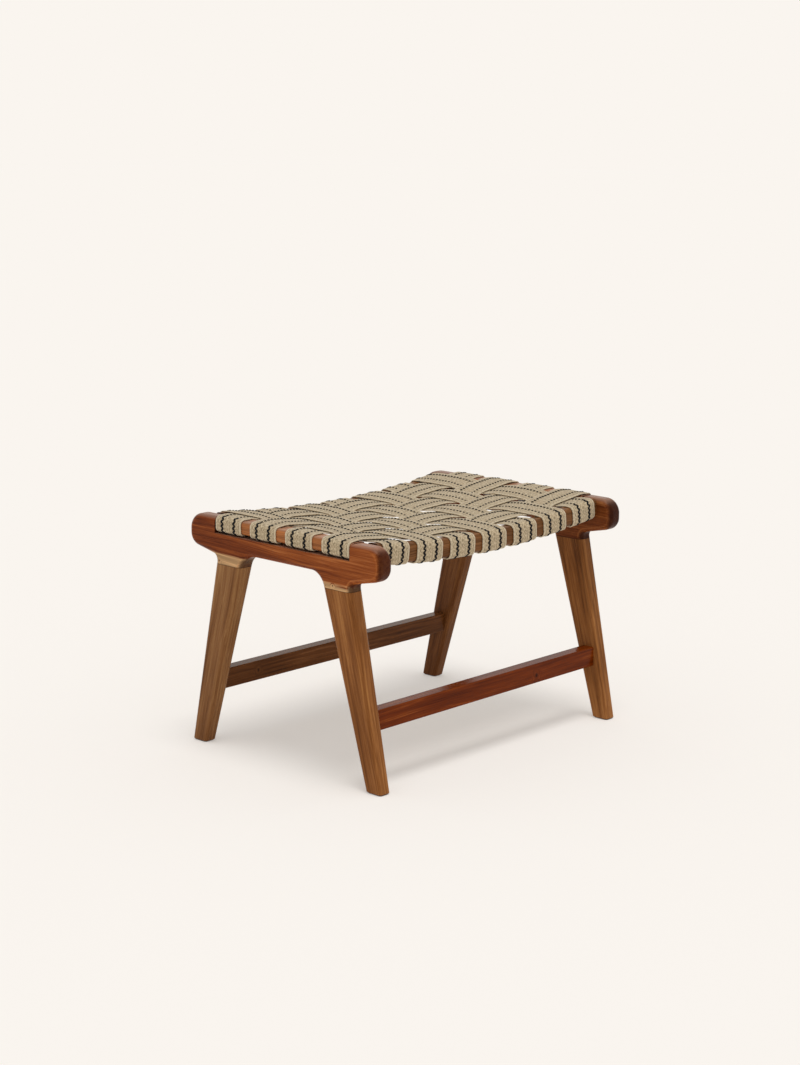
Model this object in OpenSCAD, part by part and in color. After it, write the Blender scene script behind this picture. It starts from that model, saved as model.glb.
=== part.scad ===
// Wooden footstool with a seat of woven straps.
// Two end rails with rounded knobs stand on four splayed legs. Two curved long rails
// and two stretchers join the ends. Seven cross straps wrap the long rails, four long
// straps wrap the bars of the end rails, and the two sets pass over one and under one.
// X runs along the seat, the front is at -Y, and z = 0 is the floor.

/* [Seat] */
// Length over the outer faces of the end rails
seat_length = 610; // [590:2:630]
// Depth from knob tip to knob tip
seat_depth = 436; // [424:2:446]
// Height of the knob tops above the floor
seat_height = 393.5; // [380:0.5:430]
// How far the middle of the seat hangs below its ends
seat_sag = 18; // [12:1:22]

/* [End rails] */
// Thickness of an end rail
end_rail_t = 32; // [30:0.5:36]
// Height of an end rail from its underside to the knob tops
end_rail_h = 55.5; // [53:0.5:60]
// Radius of the rounded edges of an end rail
edge_r = 10; // [8:0.5:11]
// Distance from a long rail's inner face to the end of the slot that the long straps pass through
slot_inset = 6.5; // [5:0.5:10]
// Height of the slot's floor above the rail's underside
slot_floor = 28.5; // [24:0.5:30]
// Space between the slot's floor and a strap
slot_space = 1.6; // [1.4:0.1:3]
// Edge radius of the bar on the outer side
bar_outer_r = 6; // [4:0.5:7]
// Edge radius of the bar on the inner side
bar_inner_r = 3; // [2:0.5:4]
// Radius where a knob's top turns down into the slot
knob_lip_r = 5; // [3:0.5:6]
// Radius of a knob's upper corner
knob_top_r = 26; // [22:0.5:28]
// Radius of a knob's lower corner
knob_low_r = 22; // [16:0.5:26]
// Slope of a knob's underside, down to the stub
knob_slope = 12; // [6:0.5:15]
// Depth of the stub below the rail's underside, down to the leg joint
stub_h = 22; // [21:0.5:28]
// Radius between the rail's underside and the inner side of a leg
arch_r = 30; // [20:0.5:30]
// Radius between a knob's underside and the outer side of a leg
knob_under_r = 10; // [6:0.5:12]

/* [Legs] */
// Distance from the knob tips to the outer edge of a leg at the joint
leg_setback = 63; // [60:0.5:66]
// Width of a leg at the joint
leg_top_w = 61; // [56:0.5:66]
// Width of a leg at the floor
leg_foot_w = 33; // [30:0.5:40]
// Thickness of a leg at the floor
leg_foot_t = 24; // [22:0.5:28]
// How far the feet reach beyond the knob tips
foot_reach = 2; // [-4:0.5:10]
// Corner radius of a leg at the floor
foot_corner_r = 6; // [4:0.5:8]
// Bevel round the bottom of a foot
foot_bevel = 2.5; // [1:0.25:4]

/* [Long rails] */
// Height of a long rail
long_rail_h = 32; // [29:0.5:34]
// Thickness of a long rail
long_rail_t = 26; // [23:0.5:28]
// Edge radius of a long rail
long_rail_r = 8; // [6:0.5:9]
// Distance from the knob tips to the outer face of a long rail
long_rail_setback = 31; // [29:0.5:33]
// Height of a long rail's tenon
rail_tenon_h = 20; // [16:0.5:22]
// Thickness of a long rail's tenon
rail_tenon_t = 12; // [10:0.5:14]
// Length of a long rail's tenon
rail_tenon_l = 22; // [16:0.5:24]

/* [Stretchers] */
// Height of the stretchers' top edge above the floor
stretcher_top = 128; // [100:1:180]
// Height of a stretcher
stretcher_h = 34; // [30:0.5:38]
// Thickness of a stretcher
stretcher_t = 24; // [20:0.5:26]
// Edge radius of a stretcher
stretcher_r = 2.5; // [1.5:0.25:4]
// Height of a stretcher's tenon
stretcher_tenon_h = 22; // [18:0.5:26]
// Thickness of a stretcher's tenon
stretcher_tenon_t = 12; // [10:0.5:14]
// Length of a stretcher's tenon
stretcher_tenon_l = 18; // [14:0.5:20]

/* [Straps] */
// Width of a strap
strap_w = 60; // [54:0.5:62]
// Thickness of a strap
strap_t = 2.5; // [2:0.1:3]
// Number of straps from front to back
cross_straps = 7; // [5:1:7]
// Number of straps from end to end
long_straps = 4; // [3:1:4]
// Space between an end rail and the outermost cross strap
cross_margin = 9; // [7:0.5:12]
// Space between the slot's end and the outermost long strap
long_margin = 2; // [1:0.5:6]

/* [Dowels and tacks] */
// Diameter of a leg dowel
dowel_d = 10; // [8:0.5:12]
// Length of a leg dowel
dowel_l = 50; // [40:1:52]
// Distance between the two dowels of a leg
dowel_pitch = 28; // [24:0.5:32]
// Diameter of a tack's head
tack_head_d = 8; // [6:0.5:9]
// Thickness of a tack's head
tack_head_t = 1; // [0.8:0.1:1.5]
// Diameter of a tack's shank
tack_shank_d = 1.8; // [1.5:0.1:2.2]
// Length of a tack under its head
tack_l = 13; // [10:0.5:14]
// Distance between the two tacks of a strap's end
tack_pitch = 36; // [28:1:40]

/* [Clearances] */
// Space between a strap and the wood or the strap that it lies on
strap_gap = 0.4; // [0.3:0.05:0.6]
// Space round a tenon in its mortise
tenon_gap = 0.15; // [0.1:0.05:0.3]
// Space round a dowel or a tack in its hole
hole_gap = 0.1; // [0.05:0.05:0.2]
// Space beyond the end of a tenon, dowel or tack
end_gap = 1; // [0.5:0.25:1.5]

/* [Hidden] */
round_fn = 96;
$fn = round_fn;
hull_fn = 32;
thin = 0.01;
weave_steps = 10;
corner_steps = 6;
arc_fn = 1440;

// How much fuller than a sine a strap arches over the strap that it crosses
weave_fullness = 0.45;

// How far the hollow under a knob reaches into the knob's underside, so that they meet at an edge
under_bite = 0.15;

wood_red = [0.53, 0.25, 0.13];
wood_olive = [0.47, 0.34, 0.20];
wood_dark = [0.36, 0.17, 0.10];
webbing = [0.76, 0.69, 0.55];
steel = [0.62, 0.62, 0.64];

// Planes of the end rails
rail_x = seat_length / 2 - end_rail_t / 2;
inner_x = seat_length / 2 - end_rail_t;
rail_bottom = seat_height - end_rail_h;
rail_mid = seat_height - end_rail_h / 2;
joint_z = rail_bottom - stub_h;

// Centres of a knob's two corners
knob_top_y = seat_depth / 2 - knob_top_r;
knob_top_z = seat_height - knob_top_r;
knob_low_y = seat_depth / 2 - knob_low_r;
knob_low_z = rail_bottom + knob_low_r;

// Slot, and the bar above it that a long strap wraps, set back so that the strap ends flush
slot_z = rail_bottom + slot_floor;
bar_bottom = slot_z + slot_space + strap_t + strap_gap;
bar_h = seat_height - bar_bottom;
bar_mid = seat_height - bar_h / 2;
bar_outer_x = seat_length / 2 - strap_t - strap_gap;
bar_t = bar_outer_x - inner_x;
bar_x = (bar_outer_x + inner_x) / 2;
bar_root = 1;

// Middle surface of the seat: an arc across X that meets the straps on the bars
web_end_z = seat_height + strap_gap + strap_t / 2;
arc_r = (inner_x * inner_x + seat_sag * seat_sag) / (2 * seat_sag);
arc_z = web_end_z - seat_sag + arc_r;

// Long rails hang below that surface by half a strap and the gap
long_rail_y = seat_depth / 2 - long_rail_setback - long_rail_t / 2;
long_rail_r_mid = arc_r + strap_t / 2 + strap_gap + long_rail_h / 2;
rail_tenon_z = arc_z - sqrt(pow(long_rail_r_mid, 2) - pow(inner_x, 2));
slot_length = 2 * (long_rail_y - long_rail_t / 2 - slot_inset);

// Places of the straps
cross_pitch = (2 * inner_x - 2 * cross_margin - strap_w) / (cross_straps - 1);
long_pitch = (slot_length - 2 * long_margin - strap_w) / (long_straps - 1);
function cross_x(j) = (j - (cross_straps + 1) / 2) * cross_pitch;
function cross_angle(j) = asin(cross_x(j) / arc_r);
function seat_arc(x) = arc_z - sqrt(pow(arc_r, 2) - pow(min(abs(x), inner_x), 2));
function long_y(i) = ((long_straps + 1) / 2 - i) * long_pitch;
function cross_on_top(i, j) = (i + j) % 2 == 0;

// A strap lies over its neighbour by the height that keeps their edges clear of each other
function crown(x) = x * (1 + weave_fullness * (1 - x * x));
function edge_share(pitch) = crown(cos(180 * strap_w / 2 / pitch));
weave_lift = (strap_t + strap_gap) / (edge_share(cross_pitch) + edge_share(long_pitch));

// Legs: straight edges from the joint to the floor
leg_out_top = seat_depth / 2 - leg_setback;
leg_in_top = leg_out_top - leg_top_w;
foot_out = seat_depth / 2 + foot_reach;
foot_in = foot_out - leg_foot_w;
lean_in = atan((foot_in - leg_in_top) / joint_z);
lean_out = atan((foot_out - leg_out_top) / joint_z);
function along(z, foot, top) = foot + (top - foot) * z / joint_z;
function leg_in(z) = along(z, foot_in, leg_in_top);
function leg_out(z) = along(z, foot_out, leg_out_top);
function leg_mid(z) = (leg_in(z) + leg_out(z)) / 2;
function leg_t(z) = along(z, leg_foot_t, end_rail_t);
function leg_inner_x(z) = rail_x - leg_t(z) / 2;

// Centre of the hollow beside a stub under the rail, tangent to the rail and to the leg
arch_z = rail_bottom - arch_r;
arch_y = leg_in_top - (arch_r + sin(lean_in) * (arch_z - joint_z)) / cos(lean_in);

// Centre of the hollow under a knob, which meets the knob's sloped underside and is tangent to
// the leg
function under_knob(y, below) =
    knob_low_z + (y - knob_low_y) * tan(knob_slope) - (knob_low_r + below) / cos(knob_slope);
under_y0 = leg_out_top + knob_under_r / cos(lean_out);
under_drop = knob_under_r - under_bite;
under_y = (under_y0 - tan(lean_out) * (under_knob(0, under_drop) - joint_z))
    / (1 + tan(lean_out) * tan(knob_slope));
under_z = under_knob(under_y, under_drop);

// Stretchers lie on the middle of the legs
stretcher_z = stretcher_top - stretcher_h / 2;
stretcher_y = leg_mid(stretcher_z);
dowel_y = leg_mid(joint_z - dowel_l / 4);

// A knob's sloped underside ends inside the stub
knob_start_y = leg_mid(joint_z);

// Tacks sit in the middle of a strap's tail, on the inner face of what it wraps
tail_z = -(strap_t / 2 + strap_gap + long_rail_h / 2);

// Turns a piece drawn at the right and the back to the end and the side asked for
module at(end, side) {
    mirror([end < 0 ? 1 : 0, 0, 0])
        mirror([0, side < 0 ? 1 : 0, 0])
            children();
}

// Carries a cross strap's flat plane, z = 0, to its place on the seat's arc
module at_cross(j) {
    translate([0, 0, arc_z])
        rotate([0, -cross_angle(j), 0])
            translate([0, 0, -arc_r])
                children();
}

// Section of a bar, w wide and h high, rounded by r_out on +x and r_in on -x, grown by g
module bar_section(w, h, r_out, r_in, g = 0) {
    half_w = w / 2 + g;
    half_h = h / 2 + g;
    ro = r_out + g;
    ri = r_in + g;
    translate([-half_w + ri, -half_h])
        square([2 * half_w - ri - ro, 2 * half_h]);
    translate([-half_w, -half_h + ri])
        square([half_w, 2 * (half_h - ri)]);
    translate([0, -half_h + ro])
        square([half_w, 2 * (half_h - ro)]);
    for (s = [-1, 1]) {
        translate([half_w - ro, s * (half_h - ro)])
            circle(ro);
        translate([-half_w + ri, s * (half_h - ri)])
            circle(ri);
    }
}

module rounded_rect(w, h, r) {
    bar_section(w, h, r, r);
}

// Section of a knob from a corner's centre out to its rounded rim, r away along +x
module knob_rim(r) {
    flat_t = end_rail_t - 2 * edge_r;
    translate([0, -end_rail_t / 2])
        square([r - edge_r, end_rail_t]);
    translate([0, -flat_t / 2])
        square([r, flat_t]);
    for (s = [-1, 1])
        translate([r - edge_r, s * flat_t / 2])
            circle(edge_r);
}

// Round corner of a knob, centred at the origin
module knob_corner(r) {
    rotate([90, 0, 90])
        rotate_extrude()
            knob_rim(r);
}

// Straight run of a knob up from the origin, with its rim towards +y
module knob_run(r, l) {
    linear_extrude(l)
        rotate(90)
            knob_rim(r);
}

// Knob at the back end of the board: two round corners, a straight end and a sloped underside
module knob() {
    under_l = (knob_low_y - knob_start_y) / cos(knob_slope);
    translate([0, knob_top_y, knob_top_z])
        knob_corner(knob_top_r);
    translate([0, knob_low_y, knob_low_z]) {
        knob_run(knob_low_r, knob_top_z - knob_low_z);
        rotate([knob_slope - 90, 0, 0]) {
            knob_corner(knob_low_r);
            translate([0, 0, -under_l])
                knob_run(knob_low_r, under_l);
        }
    }
}

// Section of a cutter that reaches r into the board and leaves its edges rounded
module flared(r) {
    flat_t = end_rail_t - 2 * edge_r;
    difference() {
        translate([0, -end_rail_t / 2 - 1])
            square([r + edge_r, end_rail_t + 2]);
        translate([r, -flat_t / 2])
            square([edge_r + 1, flat_t]);
        for (s = [-1, 1])
            translate([r + edge_r, s * flat_t / 2])
                circle(edge_r);
    }
}

// Hollow beside a stub: round above, then straight down along the leg's edge
module stub_hollow(y, z, r, lean) {
    translate([0, y, z])
        mirror([0, lean < 0 ? 1 : 0, 0]) {
            rotate([0, 90, 0])
                rotate_extrude()
                    flared(r);
            rotate([lean, 0, 0])
                translate([0, 0, -2 * r])
                    linear_extrude(2 * r)
                        rotate(90)
                            flared(r);
        }
}

// Stub that stands on a leg
module stub() {
    stub_top = rail_bottom + edge_r;
    end_y = under_y - (knob_under_r + edge_r / 2) * sin(knob_slope);
    difference() {
        translate([-end_rail_t / 2, arch_y, joint_z])
            cube([end_rail_t, end_y - arch_y, stub_top - joint_z]);
        stub_hollow(arch_y, arch_z, arch_r, lean_in);
        stub_hollow(under_y, under_z, knob_under_r, -lean_out);
    }
}

// Board with a knob at each end, before the slot is cut
module end_rail_board() {
    translate([0, 0, rail_mid])
        rotate([90, 0, 0])
            linear_extrude(2 * knob_top_y, center = true)
                rounded_rect(end_rail_t, end_rail_h, edge_r);
    for (s = [0, 1])
        mirror([0, s, 0]) {
            knob();
            stub();
        }
}

// Rounds the corner where a knob's top turns down into the slot
module knob_lip() {
    translate([0, slot_length / 2, seat_height - knob_lip_r])
        rotate([90, 0, 90])
            linear_extrude(end_rail_t + 2, center = true)
                difference() {
                    translate([-1, 0])
                        square([knob_lip_r + 1, knob_lip_r + 1]);
                    translate([knob_lip_r, 0])
                        circle(knob_lip_r);
                }
}

module wrap_bar() {
    translate([bar_x - rail_x, 0, bar_mid])
        rotate([90, 0, 0])
            linear_extrude(slot_length + 2 * bar_root, center = true)
                bar_section(bar_t, bar_h, bar_outer_r, bar_inner_r);
}

module dowel_places() {
    for (s = [-1, 1])
        translate([0, dowel_y + s * dowel_pitch / 2, joint_z])
            children();
}

module dowel_hole() {
    cylinder(h = dowel_l + 2 * end_gap, d = dowel_d + 2 * hole_gap, center = true);
}

// An end rail, drawn as the right one
module end_rail() {
    color(wood_red)
        difference() {
            translate([rail_x, 0, 0]) {
                difference() {
                    end_rail_board();
                    translate([-end_rail_t / 2 - 1, -slot_length / 2, slot_z])
                        cube([end_rail_t + 2, slot_length, end_rail_h]);
                    for (s = [0, 1])
                        mirror([0, s, 0]) {
                            knob_lip();
                            dowel_places()
                                dowel_hole();
                        }
                }
                wrap_bar();
            }
            for (s = [-1, 1])
                at(1, s)
                    rail_mortise();
            at_end_tacks()
                tack_hole();
        }
}

// Room for a long rail's tenon
module rail_mortise() {
    g = tenon_gap;
    translate([inner_x - 1, long_rail_y - rail_tenon_t / 2 - g, rail_tenon_z - rail_tenon_h / 2 - g])
        cube([rail_tenon_l + end_gap + 1, rail_tenon_t + 2 * g, rail_tenon_h + 2 * g]);
}

// One level section of a leg
module leg_slice(z, inset, r) {
    translate([rail_x, leg_mid(z), z])
        linear_extrude(thin)
            rounded_rect(leg_t(z) - 2 * inset, leg_out(z) - leg_in(z) - 2 * inset, r, $fn = hull_fn);
}

// A leg, drawn as the back right one
module leg() {
    g = tenon_gap;
    color(wood_olive)
        difference() {
            hull() {
                leg_slice(joint_z - thin, 0, edge_r);
                leg_slice(foot_bevel, 0, foot_corner_r);
                leg_slice(0, foot_bevel, foot_corner_r - foot_bevel / 2);
            }
            translate([rail_x, 0, 0])
                dowel_places()
                    dowel_hole();
            translate([
                leg_inner_x(stretcher_z) - end_rail_t / 2,
                stretcher_y - stretcher_tenon_t / 2 - g,
                stretcher_z - stretcher_tenon_h / 2 - g
            ])
                cube([
                    end_rail_t / 2 + stretcher_tenon_l + end_gap,
                    stretcher_tenon_t + 2 * g,
                    stretcher_tenon_h + 2 * g
                ]);
        }
}

// A long rail, drawn as the back one: an arc between the end rails, with a tenon at each end
module long_rail() {
    span = asin(inner_x / arc_r) + 1;
    color(wood_dark)
        difference() {
            union() {
                intersection() {
                    translate([0, long_rail_y, arc_z])
                        rotate([90, 0, 0])
                            rotate([0, 0, -90 - span])
                                rotate_extrude(angle = 2 * span, $fn = arc_fn)
                                    translate([long_rail_r_mid, 0])
                                        rounded_rect(long_rail_h, long_rail_t, long_rail_r, $fn = round_fn);
                    translate([-inner_x, 0, 0])
                        cube([2 * inner_x, seat_depth / 2, seat_height + seat_sag]);
                }
                for (s = [-1, 1])
                    at(s, 1)
                        translate([
                            inner_x - long_rail_r,
                            long_rail_y - rail_tenon_t / 2,
                            rail_tenon_z - rail_tenon_h / 2
                        ])
                            cube([long_rail_r + rail_tenon_l, rail_tenon_t, rail_tenon_h]);
            }
            at_rail_tacks()
                tack_hole();
        }
}

// A stretcher, drawn as the back one: its shoulders follow the inner faces of the legs
module stretcher() {
    low = stretcher_top - stretcher_h;
    color(wood_dark) {
        intersection() {
            translate([0, stretcher_y, stretcher_z])
                rotate([90, 0, 90])
                    linear_extrude(seat_length, center = true)
                        rounded_rect(stretcher_t, stretcher_h, stretcher_r);
            translate([0, stretcher_y, 0])
                rotate([90, 0, 0])
                    linear_extrude(2 * stretcher_t, center = true)
                        polygon([
                            [-leg_inner_x(low), low],
                            [leg_inner_x(low), low],
                            [leg_inner_x(stretcher_top), stretcher_top],
                            [-leg_inner_x(stretcher_top), stretcher_top]
                        ]);
        }
        for (s = [-1, 1])
            at(s, 1)
                translate([
                    leg_inner_x(stretcher_z) - stretcher_r,
                    stretcher_y - stretcher_tenon_t / 2,
                    stretcher_z - stretcher_tenon_h / 2
                ])
                    cube([stretcher_r + stretcher_tenon_l, stretcher_tenon_t, stretcher_tenon_h]);
    }
}

module leg_dowels() {
    color(wood_olive)
        for (end = [-1, 1], side = [-1, 1])
            at(end, side)
                translate([rail_x, 0, 0])
                    dowel_places()
                        cylinder(h = dowel_l, d = dowel_d, center = true);
}

// A tack that points along +y, with the underside of its head at y = 0
module tack() {
    point = 2.5;
    color(steel)
        rotate([-90, 0, 0])
            rotate_extrude()
                polygon([
                    [0, -tack_head_t],
                    [tack_head_d / 2 - tack_head_t / 2, -tack_head_t],
                    [tack_head_d / 2, -tack_head_t / 4],
                    [tack_head_d / 2, 0],
                    [tack_shank_d / 2, 0],
                    [tack_shank_d / 2, tack_l - point],
                    [0, tack_l]
                ]);
}

module tack_hole() {
    rotate([-90, 0, 0])
        translate([0, 0, -strap_t])
            cylinder(h = strap_t + tack_l + end_gap, d = tack_shank_d + 2 * hole_gap);
}

// Tacks of the cross straps in the inner face of the back long rail
module at_rail_tacks() {
    for (j = [1:cross_straps])
        at_rail_tacks_of(j)
            children();
}

module at_rail_tacks_of(j) {
    at_cross(j)
        for (s = [-1, 1])
            translate([
                s * tack_pitch / 2,
                long_rail_y - long_rail_t / 2 - strap_gap - strap_t,
                tail_z
            ])
                children();
}

// Tacks of the long straps in the inner face of the right bar
module at_end_tacks() {
    for (i = [1:long_straps])
        at_end_tacks_of(i)
            children();
}

module at_end_tacks_of(i) {
    for (s = [-1, 1])
        translate([inner_x - strap_gap - strap_t, long_y(i) + s * tack_pitch / 2, bar_mid])
            rotate([0, 0, -90])
                children();
}

// Stop of a strap: [place along it, lift], with no lift where it leaves the wood. The lift
// swings from stop to stop.
function span_lift(p, q, u) =
    p[1] == 0 ? q[1] * crown(sin(90 * u)) : p[1] * crown(cos((q[1] == 0 ? 90 : 180) * u));

// Point of a strap's face at a share u of the way between two stops, over the curve base(s)
function web_point(p, q, u, base, face) =
    let (run = q[0] - p[0])
    let (du = 0.01)
    let (z = function (v) base(p[0] + v * run) + span_lift(p, q, v))
    let (slope = atan((z(u + du) - z(u - du)) / (2 * du * run)))
    [p[0] + u * run, z(u)] + face * strap_t / 2 * [-sin(slope), cos(slope)];

// One face of a strap between its first and its last stop, without the two ends
function web_face(stops, base, face) = [
    for (k = [0:len(stops) - 2])
        let (p = stops[k])
        let (q = stops[k + 1])
        let (steps = p[1] == 0 && q[1] == 0 ? 1 : weave_steps)
        for (n = [0:steps - 1])
            if (k + n > 0) web_point(p, q, n / steps, base, face)
];

// All stops of a strap: it leaves the wood at the outer edge when it first rises, else at the
// inner edge
function all_stops(crossings, edge_out, edge_in) =
    let (first = crossings[0])
    let (last = crossings[len(crossings) - 1])
    concat(
        [[-edge_out, 0]],
        first[1] > 0 ? [] : [[-edge_in, 0]],
        crossings,
        last[1] > 0 ? [] : [[edge_in, 0]],
        [[edge_out, 0]]
    );

function reversed(list) = [for (k = [len(list) - 1:-1:0]) list[k]];

// Points of a corner's arc, from angle a to angle b
function corner(x, z, r, a, b) = [
    for (n = [0:corner_steps])
        let (t = a + (b - a) * n / corner_steps)
        [x + r * cos(t), z + r * sin(t)]
];

// Path round a bar at [x, z], grown by g: up from the tail's end, under, outside and on top.
// The outer side is +x, and out = -1 turns the path to the other end of the strap.
function hook_points(x, z, w, h, r_out, r_in, g, out) = [
    for (p = concat(
        [[-w / 2 - g, h / 2 - r_in]],
        corner(-w / 2 + r_in, -h / 2 + r_in, r_in + g, 180, 270),
        corner(w / 2 - r_out, -h / 2 + r_out, r_out + g, -90, 0),
        corner(w / 2 - r_out, h / 2 - r_out, r_out + g, 0, 90)
    ))
        [out * (x + p[0]), z + p[1]]
];

// One face of a whole strap, from the tail at one end to the tail at the other
function strap_face(stops, base, face, x, z, w, h, r_out, r_in) =
    let (g = strap_gap + (face > 0 ? strap_t : 0))
    concat(
        hook_points(x, z, w, h, r_out, r_in, g, -1),
        web_face(stops, base, face),
        reversed(hook_points(x, z, w, h, r_out, r_in, g, 1))
    );

// Side view of a strap that wraps a bar at each end, with the bars' middles at [+-x, z]
module strap_profile(crossings, base, x, z, w, h, r_out, r_in) {
    stops = all_stops(crossings, x + w / 2 - r_out, x - w / 2 + r_in);
    polygon(concat(
        strap_face(stops, base, 1, x, z, w, h, r_out, r_in),
        reversed(strap_face(stops, base, -1, x, z, w, h, r_out, r_in))
    ));
}

// A cross strap, drawn flat and then carried to its place on the arc
module cross_strap(j) {
    crossings = [
        for (i = [long_straps:-1:1])
            [long_y(i), (cross_on_top(i, j) ? 1 : -1) * weave_lift]
    ];
    color(webbing)
        difference() {
            at_cross(j)
                rotate([90, 0, 90])
                    linear_extrude(strap_w, center = true)
                        strap_profile(
                            crossings,
                            function (s) 0,
                            long_rail_y,
                            tail_z,
                            long_rail_t,
                            long_rail_h,
                            long_rail_r,
                            long_rail_r
                        );
            for (side = [-1, 1])
                at(1, side)
                    at_rail_tacks_of(j)
                        tack_hole();
        }
}

// A long strap: it follows the seat's arc between the two bars
module long_strap(i) {
    crossings = [
        for (j = [1:cross_straps])
            [cross_x(j), (cross_on_top(i, j) ? -1 : 1) * weave_lift]
    ];
    color(webbing)
        difference() {
            translate([0, long_y(i), 0])
                rotate([90, 0, 0])
                    linear_extrude(strap_w, center = true)
                        strap_profile(
                            crossings,
                            function (s) seat_arc(s),
                            bar_x,
                            bar_mid,
                            bar_t,
                            bar_h,
                            bar_outer_r,
                            bar_inner_r
                        );
            for (end = [-1, 1])
                at(end, 1)
                    at_end_tacks_of(i)
                        tack_hole();
        }
}

at(-1, 1) end_rail();  // left_end_rail
at(1, 1) end_rail();  // right_end_rail
at(-1, -1) leg();  // front_left_leg
at(1, -1) leg();  // front_right_leg
at(-1, 1) leg();  // back_left_leg
at(1, 1) leg();  // back_right_leg
at(1, -1) long_rail();  // front_long_rail
at(1, 1) long_rail();  // back_long_rail
at(1, -1) stretcher();  // front_stretcher
at(1, 1) stretcher();  // back_stretcher
for (j = [1:cross_straps])
    cross_strap(j);
for (i = [1:long_straps])
    long_strap(i);
leg_dowels();
at(-1, 1) at_end_tacks() tack();  // left_end_tacks
at(1, 1) at_end_tacks() tack();  // right_end_tacks
at(1, -1) at_rail_tacks() tack();  // front_rail_tacks
at(1, 1) at_rail_tacks() tack();  // back_rail_tacks
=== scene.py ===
import math

import bpy
import numpy as np
from mathutils import Matrix, Vector


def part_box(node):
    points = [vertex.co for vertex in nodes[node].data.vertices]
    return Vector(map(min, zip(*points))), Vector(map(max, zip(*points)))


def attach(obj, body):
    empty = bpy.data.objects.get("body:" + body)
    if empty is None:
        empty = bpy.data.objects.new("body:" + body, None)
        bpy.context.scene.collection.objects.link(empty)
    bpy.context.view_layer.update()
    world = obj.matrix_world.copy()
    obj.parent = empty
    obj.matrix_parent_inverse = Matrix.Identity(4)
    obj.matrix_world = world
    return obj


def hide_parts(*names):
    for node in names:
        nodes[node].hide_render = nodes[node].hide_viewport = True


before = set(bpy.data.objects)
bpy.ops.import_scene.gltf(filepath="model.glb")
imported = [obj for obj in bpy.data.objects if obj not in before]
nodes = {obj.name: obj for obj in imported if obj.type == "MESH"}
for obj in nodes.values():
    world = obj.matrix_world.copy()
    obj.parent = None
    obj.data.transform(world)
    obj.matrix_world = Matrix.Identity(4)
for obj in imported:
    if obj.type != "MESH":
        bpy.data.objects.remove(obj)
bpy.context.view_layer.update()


# End rails.
# Two boards of red-brown hardwood. Each has a knob at both ends, a bar over a slot between them, and
# two stubs for the legs. They are sanded round and varnished to a satin sheen.
RAIL_LOW, RAIL_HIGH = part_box("right_end_rail")
JOINT_Z = RAIL_LOW.z


def feed(tree, node, inputs):
    """Feeds each input of a node from a socket or a plain value."""
    for key, value in inputs.items():
        if isinstance(value, bpy.types.NodeSocket):
            tree.links.new(value, node.inputs[key])
        else:
            node.inputs[key].default_value = value


def add(tree, kind, inputs=None, **settings):
    """Adds a node with its settings and its inputs."""
    node = tree.nodes.new(kind)
    for key, value in settings.items():
        setattr(node, key, value)
    feed(tree, node, inputs or {})
    return node


def calc(tree, operation, *values, clamp=False):
    """A number worked out from sockets and plain numbers."""
    node = add(tree, "ShaderNodeMath", dict(enumerate(values)), operation=operation, use_clamp=clamp)
    return node.outputs[0]


def vector_calc(tree, operation, *values):
    """A vector, or its length and the like, worked out from sockets and plain vectors."""
    node = add(tree, "ShaderNodeVectorMath", dict(enumerate(values)), operation=operation)
    return node.outputs["Value" if operation in ("LENGTH", "DOT_PRODUCT", "DISTANCE") else "Vector"]


def scaled(tree, vector, scale):
    """A vector times a number."""
    return add(tree, "ShaderNodeVectorMath", {0: vector, "Scale": scale}, operation="SCALE").outputs[0]


def joined(tree, *parts):
    """A vector made of its three parts."""
    return add(tree, "ShaderNodeCombineXYZ", dict(enumerate(parts))).outputs[0]


def split(tree, vector):
    """The three parts of a vector."""
    return add(tree, "ShaderNodeSeparateXYZ", {0: vector}).outputs


def noise(tree, vector, scale, detail=2.0, roughness=0.5):
    """Smooth noise with so many waves per metre in each direction: a grey and a colour."""
    inputs = {"Vector": vector_calc(tree, "MULTIPLY", vector, scale), "Scale": 1.0}
    return add(tree, "ShaderNodeTexNoise", {**inputs, "Detail": detail, "Roughness": roughness}).outputs


def wander(tree, vector, scale, reach):
    """A push by noise, of at most half its reach each way."""
    push = vector_calc(tree, "SUBTRACT", noise(tree, vector, scale)["Color"], (0.5, 0.5, 0.5))
    return vector_calc(tree, "MULTIPLY", push, reach)


def layered(tree, tone, layers):
    """A tone that each layer of noise moves up and down, by a weight."""
    for layer, weight in layers:
        tone = calc(tree, "MULTIPLY_ADD", calc(tree, "SUBTRACT", layer, 0.5), weight, tone)
    return tone


def step_up(tree, value, low, high):
    """0 below low, 1 above high, and smooth between them."""
    inputs = {"Value": value, "From Min": low, "From Max": high}
    return add(tree, "ShaderNodeMapRange", inputs, interpolation_type="SMOOTHSTEP").outputs[0]


def step_down(tree, value, low, high):
    """1 below low, 0 above high, and smooth between them."""
    return calc(tree, "SUBTRACT", 1.0, step_up(tree, value, low, high))


def srgb(red, green, blue):
    """A colour given as it looks on a screen, from 0 to 255, as the linear values that shaders use."""
    linear = [((c / 255 + 0.055) / 1.055) ** 2.4 if c > 10 else c / 255 / 12.92 for c in (red, green, blue)]
    return (*linear, 1.0)


def darker(colour, share):
    """A colour times a share, as opaque as before."""
    return (*(c * share for c in colour[:3]), 1.0)


def ramp(tree, value, stops):
    """Colours along a value, from a list of (place, colour)."""
    node = add(tree, "ShaderNodeValToRGB", {0: value})
    elements = node.color_ramp.elements
    for k, (place, colour) in enumerate(stops):
        element = elements[k] if k < 2 else elements.new(place)
        element.position = place
        element.color = colour
    return node.outputs[0]


def blend(tree, share, a, b):
    """Colour b laid over colour a by a share from 0 to 1."""
    return add(tree, "ShaderNodeMix", {0: share, 6: a, 7: b}, data_type="RGBA").outputs[2]


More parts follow.
